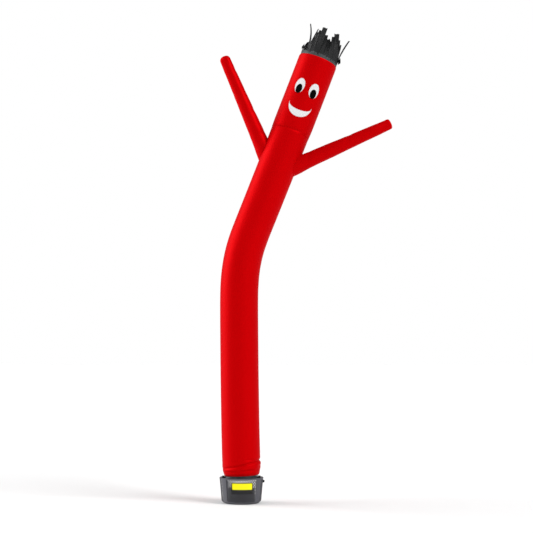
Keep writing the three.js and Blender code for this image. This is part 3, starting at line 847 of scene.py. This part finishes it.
def make_head():
    rows = stretches(NECK - LAP, (NECK + 0.09, 26), (CROWN - 0.04, 34), (CROWN, 10))
    mesh = cloth_tube("head_cloth", rows, turns_round(108, HEAD_RADIUS), head_surface, HEAD_RADIUS)
    head = made(mesh, RED_NYLON, "red_nylon", CLOTH)
    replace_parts(head, "head_tube")
    seam = even(NECK + LAP + 0.004, CROWN - 0.03, 60)
    threads = sewn("head_stitches", head_surface, HEAD_STITCHES, seam, HEAD_RADIUS)


# ---- The arms ----


def arm_radius(arm, length, y):
    """The arm's radius: a straight taper, flared at the root and rounded off at the tip."""
    shoulder = length - ARM_TIP
    flare = ARM_FLARE * exp(-max(y, 0) / ARM_FLARE_REACH)
    radius = mix(ARM_ROOT, ARM_TIP, min(y, shoulder) / length) + flare
    if y <= shoulder:
        return radius
    share = min((y - shoulder) / ARM_TIP, 1)
    return radius * sqrt(1 - mix(share, share ** 3, arm.blunt) ** 2)


def arm_place(arm, y, turn):
    """A place on the arm's outside, at a distance from its seat and a turn round it."""
    length = arm.reach.length
    radius = arm_radius(arm, length, y)
    near_tip = eased((y - (length - ARM_CRUMPLE)) / ARM_CRUMPLE)
    wrinkles = 0.0024 * ripple(turn + y * 2.2, y, 0.07, 0.16, 31.0 + arm.at, ARM_ROOT)
    wrinkles += 0.0022 * near_tip * sin(turn * 9 + 2 * ripple(turn, y, 0.05, 0.05, 7.0, ARM_TIP))
    wrinkles *= min(1, radius / 0.03)
    pressed = radius - fold_depth(arm.folds, y, turn) * min(1, radius / 0.04) - wrinkles
    ridge = seam_ridge(turn, ARM_ROOT) * min(1, radius / 0.05)
    squeeze = mix(1, arm.pinch, eased((y - (length - ARM_PINCH)) / ARM_PINCH))
    side, front = sin(turn), cos(turn)
    return ARM_SEATS[arm.name].at((pressed + ridge) * side, (pressed + ridge) * front * squeeze, y)


def arm_start(arm, turn):
    """Where the arm's line at a turn comes out of the tube's cloth."""
    root = tube_frame(arm.along)
    low, high = -0.16, 0.34
    for _ in range(30):
        middle = (low + high) / 2
        off = arm_place(arm, middle, turn) - root.origin
        along = off.dot(root.along)
        wall = value_at(TUBE_SECTIONS, arm.along + along)
        clear = (off - root.along * along).length > wall + GAP
        low, high = (low, middle) if clear else (middle, high)
    return high


def make_arm(arm):
    length = arm.reach.length
    turns = turns_round(72, ARM_ROOT)
    starts = {turn: arm_start(arm, turn) for turn in [*turns, pi]}

    def surface(share, turn):
        start = starts.get(turn) or arm_start(arm, turn)
        return arm_place(arm, mix(start, length, min(share, 1.0)), turn)

    shoulder = 1 - ARM_TIP / length
    rows = stretches(0, (0.08, 14), (shoulder - 0.1, 50), (shoulder, 12))
    rows += [mix(shoulder, 1, sin(step * pi / 32)) for step in range(1, 17)]
    mesh = cloth_tube(arm.name + "_cloth", rows, turns, surface, ARM_ROOT)
    for corner in mesh.uv_layers["cloth"].data:
        corner.uv.y *= length
    piece = made(welded(mesh), RED_NYLON, "red_nylon", CLOTH)
    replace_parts(piece, arm.name)
    seam = even(0.01, shoulder, 60)
    threads = sewn(arm.name + "_stitches", surface, [0.006 / length], seam, ARM_ROOT, 96)


# ---- The face ----

RIM_LOOK = {"pitch": 0.0013, "across": True, "long": 0.0052, "wide": 0.0015}


def raised(surface, lift):
    """A surface moved out along its normal."""
    def lifted(along, turn):
        return surface(along, turn) + normal_at(surface, along, turn) * lift
    return lifted


def oval_edge(patch, rise):
    """The height of a patch's edge by the turn, along half an oval."""
    middle, half = radians(patch.at), radians(patch.half)
    return lambda turn: patch.along + rise * sqrt(1 - min(abs(turn - middle) / half, 1) ** 2)


def closing_turns(middle, half, steps):
    """Turns across a patch, closer together towards its ends, where it may run to a point."""
    return [middle - half * cos(pi * step / steps) for step in range(steps + 1)]


def patch_mesh(name, middle, half, low, high, surface, rows=14, columns=48):
    """A patch on a surface, between a low and a high edge that are given by the turn."""
    turns = closing_turns(middle, half, columns)
    rises = [[mix(low(turn), high(turn), share) for turn in turns] for share in even(0, 1, rows)]
    places = [[surface(rise, turn) for rise, turn in zip(row, turns)] for row in rises]
    flats = [[(turn * HEAD_RADIUS, rise) for rise, turn in zip(row, turns)] for row in rises]
    return welded(grid_mesh(name, places, flats), 4e-5)


def patch_edge(middle, half, low, high, steps=90):
    """The path round a patch, along its high edge and back along its low one."""
    turns = closing_turns(middle, half, steps)
    return [(high(turn), turn) for turn in turns] + [(low(turn), turn) for turn in reversed(turns)]


def make_patch(patch, finish, thread_finish, slot):
    middle, half = radians(patch.at), radians(patch.half)
    low, high = oval_edge(patch, patch.low), oval_edge(patch, patch.high)
    top = raised(head_surface, patch.lift + PATCH)
    piece = made(patch_mesh(patch.name + "_patch", middle, half, low, high, top), finish, slot, PATCH, 60)
    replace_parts(piece, patch.name)
    edge = patch_edge(middle, half, low, high)
    rim = stitch_mesh(patch.name + "_rim_stitches", top, [edge], **RIM_LOOK)
    threads = made(rim, thread_finish, slot)
    tall = max(high(middle), patch.along) - low(middle)


def make_face():
    white = (WHITE_FELT, WHITE_THREAD, "white_felt")
    black = (BLACK_FELT, BLACK_THREAD, "black_felt")
    for patches, looks in ((EYES, white), (PUPILS, black), ([SMILE], white)):
        for patch in patches:
            make_patch(patch, *looks)


# ---- The hair ----


def band_surface(along, turn):
    """The band inside the crown: smooth where it is sewn, crumpled and uneven above the hem."""
    free = eased((along - CROWN) / BAND_RISE)
    inner = min(value_at(HEAD_SECTIONS, along) - CLOTH - GAP, BAND_RADIUS + 0.006)
    radius = mix(inner, BAND_RADIUS + 0.001, free)
    radius += free * 0.006 * ripple(turn, along, 0.05, 0.05, 41.0)
    radius += free * 0.002 * sin(turn * 47 + 4 * ripple(turn, 0, 0.1, 1, 2.0))
    rise = free * 0.007 * ripple(turn, 0, 0.04, 1, 43.0)
    return on_tube(along + rise, turn, radius)


def lock_frame(lock, share):
    """The middle, width and thickness ways of a lock, a share along it, in the crown's frame."""
    turn = radians(lock.at)
    across, front = BAND_RADIUS * sin(turn), BAND_RADIUS * cos(turn)
    rise = BAND_RISE - 0.02
    root = Vector((across, rise, front))
    knee = Vector((across * lock.out, rise + lock.knee, front * lock.out))
    tip = Vector((lock.side, BAND_RISE + lock.tall, lock.front))
    middle = root * (1 - share) ** 2 + knee * 2 * share * (1 - share) + tip * share ** 2
    way = ((knee - root) * (1 - share) + (tip - knee) * share).normalized()
    outward = Vector((sin(turn), 0, cos(turn)))
    width = way.cross(outward).normalized()
    width = Matrix.Rotation(radians(lock.twist) * share, 3, way) @ width
    return middle, width, width.cross(way)


def lock_mesh(lock, rows, columns, depth, ragged):
    """One lock of satin, folded lengthwise and cut unevenly at its end."""
    phase = random.uniform(0, 2 * pi)
    folds = max(1.5, lock.width / 0.016)
    ends = [random.uniform(-ragged, ragged) for _ in range(columns + 1)]
    length = hypot(lock.knee, 0.6 * lock.tall) + 0.05
    places, flats = [], []
    for step in range(rows + 1):
        place_row, flat_row = [], []
        for column in range(columns + 1):
            side = column / columns - 0.5
            share = step / rows
            share *= 1 + ends[column] * share ** 3
            middle, width, thick = lock_frame(lock, share)
            fold = sin(2 * pi * folds * side + phase + 1.2 * share)
            crush = noise.noise(Vector((side * 2 + lock.at, share * 5, phase)))
            off = depth * (0.35 + 0.65 * share) * fold + depth * 1.2 * crush * share
            spot = middle + width * side * mix(lock.width, lock.tip, share) + thick * off
            place_row.append(tube_frame(CROWN + spot.y).at(spot.x, spot.z))
            flat_row.append((side * lock.width + lock.at * 0.004, share * length))
        places.append(place_row)
        flats.append(flat_row)
    return grid_mesh("lock", places, flats)


def thin_strands(lock, count):
    """Narrow strips beside a lock, each leaning its own way."""
    draw = random.uniform
    for _ in range(count):
        yield lock._replace(
            at=lock.at + draw(-9, 9),
            side=lock.side + draw(-0.02, 0.02),
            front=lock.front + draw(-0.02, 0.02),
            tall=lock.tall * draw(0.5, 0.9),
            width=draw(0.006, 0.011),
            tip=draw(0.002, 0.006),
            twist=draw(-90, 90),
        )


def make_hair():
    rows = stretches(CROWN - BAND_DEPTH, (CROWN, 4), (CROWN + BAND_RISE, 12))
    mesh = cloth_tube("hair_band", rows, turns_round(180, BAND_RADIUS), band_surface, BAND_RADIUS)
    band = made(mesh, BAND_SATIN_PAINTED_LIGHTER, "hair_satin", BAND_THICK)
    meshes = []
    for lock in LOCKS:
        narrow = lock.width < NARROW_LOCK
        columns, depth = (4, 0.0005) if narrow else (14, 0.003)
        meshes.append(lock_mesh(lock, 18, columns, depth, LOCK_RAGGED))
        if not narrow and lock.tall > SHORT_LOCK:
            strands = thin_strands(lock, STRANDS)
            meshes += [lock_mesh(strand, 12, 2, 0.0008, STRAND_RAGGED) for strand in strands]
    area = sum(face.area for mesh in meshes for face in mesh.polygons)
    mesh = joined("hair_locks", meshes)
    locks = made(mesh, HAIR_SATIN, "hair_satin", LOCK_THICK, 60, crumpled=True)
    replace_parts(locks, "hair")


# ---- The blower ----


def turned(name, profile, segments=120):
    """A profile of radius and height turned round the upright axis."""
    turns = even(-pi, pi, segments)
    places = [[upright(radius, turn, height) for turn in turns[:-1]] for radius, height in profile]
    flats = [[(turn * max(radius, 0.01), height) for turn in turns] for radius, height in profile]
    return welded(grid_mesh(name, places, flats, around=True))


def arc(across, height, radius, start, end, steps):
    """Points of (radius, height) on a round corner, between two angles in degrees."""
    angles = [radians(angle) for angle in even(start, end, steps)]
    return [(across + radius * cos(angle), height + radius * sin(angle)) for angle in angles]


def foot_corner(wall):
    floor = DRUM_FLOOR if wall else 0
    reach = DRUM_LOW.radius - DRUM_FOOT
    corner = []
    for share in even(0, 1, 8):
        sine, cosine = sin(share * pi / 2), cos(share * pi / 2)
        height = DRUM_LOW.along * (1 - cosine) + floor * cosine
        corner.append((DRUM_FOOT + (reach - wall) * sine, height))
    return corner


def wall_radius(height):
    """The drum's outer radius at a height."""
    rows = [(high, radius) for radius, high in foot_corner(0)]
    return value_at([*rows, (WALL_TOP, DRUM_RIM.radius - 0.001)], height)


def on_drum(height, turn):
    return upright(wall_radius(height), turn, height)


def hole_places():
    """The turn and height of each hole, in rows set off by half a pitch."""
    rows = round((HOLES_HIGH - HOLES_LOW) / HOLE_ROW)
    for bay in BAYS:
        columns = round(2 * radians(bay.half) * DRUM_RIM.radius / HOLE_PITCH)
        pitch = 2 * radians(bay.half) / columns
        for row in range(rows + 1):
            count = columns if row % 2 else columns - 1
            for column in range(count):
                turn = radians(bay.at) + (column - (count - 1) / 2) * pitch
                yield turn, mix(HOLES_LOW, HOLES_HIGH, row / rows)


def hole_corners(turn, height):
    """The corners of a diamond prism through the drum's wall."""
    reaches = [wall_radius(height) + depth for depth in (HOLE_INNER, HOLE_OUTER)]
    half = HOLE_ACROSS / DRUM_RIM.radius
    return [upright(reach, turn + side * half, height + rise * HOLE_TALL)
            for reach in reaches for side, rise in HOLE_CORNERS]


def make_drum():
    outlet = SLEEVE_RADIUS + GAP
    deck_low = DECK_HEIGHT - DRUM_WALL
    rim_inner = DRUM_RIM.radius - RIM_WIDTH
    lip_height = DRUM_RIM.along - RIM_LIP
    profile = [(0, 0), *foot_corner(0)]
    profile += [(wall_radius(height), height) for height in even(WALL_LOW, WALL_HIGH, 8)]
    profile += [(DRUM_RIM.radius - 0.0015, 0.294), (DRUM_RIM.radius, 0.2955)]
    profile += arc(DRUM_RIM.radius - RIM_LIP, lip_height, RIM_LIP, 0, 90, 5)
    profile += arc(rim_inner + RIM_LIP, lip_height, RIM_LIP, 90, 180, 5)
    profile += [(rim_inner - RIM_LIP, DECK_HEIGHT + 0.0005), (rim_inner - 0.005, DECK_HEIGHT)]
    profile += [(outlet, DECK_HEIGHT), (outlet, deck_low), (rim_inner, deck_low)]
    profile += [(wall_radius(height) - DRUM_WALL, height) for height in even(WALL_HIGH, WALL_LOW, 4)]
    profile += [*reversed(foot_corner(DRUM_WALL)), (0, DRUM_FLOOR)]
    shell = placed("uncut_shell", turned("uncut_shell", profile, 144))
    holes = [hole_corners(*spot) for spot in hole_places()]
    cutters = placed("hole_cutters", copies_mesh("hole_cutters", holes, HOLE_FACES))
    cut = shell.modifiers.new("holes", "BOOLEAN")
    cut.operation = "DIFFERENCE"
    cut.solver = "MANIFOLD"
    cut.object = cutters
    mesh = settled(shell).data
    mesh.name = "drum_shell"
    for used in (shell, cutters):
        bpy.data.objects.remove(used)
    drum = made(mesh, DRUM_PLASTIC, "drum_plastic", sharp=28)
    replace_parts(drum, "blower_drum")


def make_collar():
    inner = SLEEVE_RADIUS - SLEEVE_WALL
    seat = DECK_HEIGHT + GAP
    round_edge = 0.006
    lip = SLEEVE_WALL / 2
    profile = [(inner, SLEEVE_BELOW), (SLEEVE_RADIUS, SLEEVE_BELOW), (SLEEVE_RADIUS, seat)]
    profile += [(FLANGE_RADIUS, seat)]
    profile += arc(FLANGE_RADIUS - round_edge, FLANGE_TOP - round_edge, round_edge, 0, 90, 8)
    profile += [(SLEEVE_RADIUS + 0.003, FLANGE_TOP), (SLEEVE_RADIUS, FLANGE_TOP + 0.003)]
    profile += arc(SLEEVE_RADIUS - lip, SLEEVE_TOP - lip, lip, 0, 180, 6)
    profile += [(inner, SLEEVE_BELOW)]
    collar = made(turned("collar_ring", profile), COLLAR_PLASTIC, "collar_plastic")
    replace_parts(collar, "outlet_collar")


def knob_mesh(name, fitting, bore=0.0):
    """A round knob with finger flutes, its foot on its seat and its length along +Z."""
    radius, length = fitting.radius, fitting.length
    edge = 0.004
    profile = [(0, 0), (radius * 0.9, 0), (radius, 0.0015)]
    profile += arc(radius - edge, length - edge, edge, 0, 90, 5)
    if bore:
        profile += [(bore, length), (bore, length * 0.3), (0, length * 0.3)]
    else:
        dimple = length - 0.0008
        profile += [(radius * 0.35, length), (radius * 0.3, dimple), (0, dimple)]
    mesh = turned(name, profile, 72)
    for corner in mesh.vertices:
        place = corner.co
        if hypot(place.x, place.y) > radius * 0.85:
            turn = atan2(place.x, -place.y)
            flute = 1 - FLUTE_DEPTH * (0.5 + 0.5 * cos(turn * FLUTES))
            place.x *= flute
            place.y *= flute
    return mesh


def make_fittings():
    for side, name in ((-1, "left"), (1, "right")):
        turn = side * radians(DECK_BOLT.at)
        mesh = knob_mesh("deck_knob_" + name, DECK_BOLT)
        mesh.transform(Matrix.Translation(upright(DECK_BOLT_RING, turn, DECK_HEIGHT + GAP)))
        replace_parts(made(mesh, KNOB_PLASTIC, "black_rubber"), "deck_bolt_" + name)
    for fitting, name, node, bore in (
        (SIDE_BOLT, "side_knob", "side_bolt", 0.0),
        (CORD_GLAND, "gland_sleeve", "cord_gland", 0.006),
    ):
        turn = radians(fitting.at)
        rise = (on_drum(fitting.height + 0.01, turn) - on_drum(fitting.height, turn)).normalized()
        level = Vector((cos(turn), sin(turn), 0))
        out = level.cross(rise)
        basis = Matrix((level, rise, out)).transposed().to_4x4()
        # GAP clears the wall, and the flat seat of the solids lies a little inside the round wall
        basis.translation = on_drum(fitting.height, turn) + out * GAP
        mesh = knob_mesh(name, fitting, bore)
        mesh.transform(basis)
        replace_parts(made(mesh, KNOB_PLASTIC, "black_rubber"), node)


def plate_edges(middle, half, low, high):
    """The low and high edges of a plate with rounded corners, by the turn."""
    def inset(turn):
        into = PLATE_CORNER - (half - abs(turn - middle)) * DRUM_RIM.radius
        into = min(max(into, 0), PLATE_CORNER)
        return PLATE_CORNER - sqrt(PLATE_CORNER ** 2 - into ** 2)
    return (lambda turn: low + inset(turn)), (lambda turn: high - inset(turn))


def make_plates():
    finishes = [(PLATE_BLACK, "plate_black"), (PLATE_YELLOW, "plate_yellow")]
    for plate, (finish, slot) in zip(PLATES, finishes):
        middle, half = radians(PLATE_AT), radians(plate.half)
        edges = plate_edges(middle, half, plate.low, plate.high)
        top = raised(on_drum, plate.lift + PATCH)
        mesh = patch_mesh(plate.name, middle, half, *edges, top, rows=10, columns=64)
        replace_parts(made(mesh, finish, slot, PATCH), plate.node)


def make_motor():
    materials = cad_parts["blower_motor"].data.materials
    materials.clear()
    materials.append(MOTOR_PAINT_DARKENED_AS_SHADE)


# ---- Light, floor and camera ----

FLOOR_REACH = 60
AMBIENT = 0.48
# A soft light: the turn and height it comes from, in degrees, its strength, and its spread.
Sun = namedtuple("Sun", "name turn height strength spread")
SUNS = [Sun("key_left", -99, 20, 2.75, 52), Sun("fill_right", 54, 40, 1.9, 30)]
EYE = (0.3, -20, 2.2)
LOOKS_UP = 1.8  # degrees above level
LENS = 112.5
SENSOR = 36


def make_sun(sun):
    light = bpy.data.lights.new(sun.name, "SUN")
    light.energy = sun.strength
    light.angle = radians(sun.spread)
    height = radians(sun.height)
    source = upright(cos(height), radians(sun.turn), sin(height))
    placed(sun.name, light).rotation_euler = source.to_track_quat("Z", "Y").to_euler()


def make_floor():
    mesh = bpy.data.meshes.new("floor")
    corners = [(x * FLOOR_REACH, y * FLOOR_REACH, 0) for x, y in ((-1, -1), (1, -1), (1, 1), (-1, 1))]
    mesh.from_pydata(corners, [], [(0, 1, 2, 3)])
    mesh.materials.append(pale_floor())
    placed("floor", mesh)


def make_world():
    """White where the camera sees it, and weaker as light."""
    studio = Finish("studio", bpy.data.worlds)
    seen = studio.add("LightPath", output="Is Camera Ray")
    lit, shown = [
        studio.add("Background", values={"Color": (1, 1, 1, 1), "Strength": strength})
        for strength in (AMBIENT, 1)
    ]
    either = studio.add("MixShader", values={0: seen, 1: lit, 2: shown})
    studio.add("OutputWorld", values={"Surface": either})
    scene.world = studio.owner
    scene.view_settings.view_transform = "Standard"


def make_camera():
    camera = placed("camera", bpy.data.cameras.new("camera"))
    camera.data.lens = LENS
    camera.data.sensor_width = SENSOR
    camera.data.clip_end = 200
    camera.location = EYE
    camera.rotation_euler = (radians(90 + LOOKS_UP), 0, 0)
    scene.camera = camera


# ---- The whole ----

make_camera()
make_body()
make_head()
for arm in ARMS:
    make_arm(arm)
make_face()
make_hair()
make_drum()
make_collar()
make_motor()
make_plates()
make_fittings()
make_floor()
make_world()
for sun in SUNS:
    make_sun(sun)
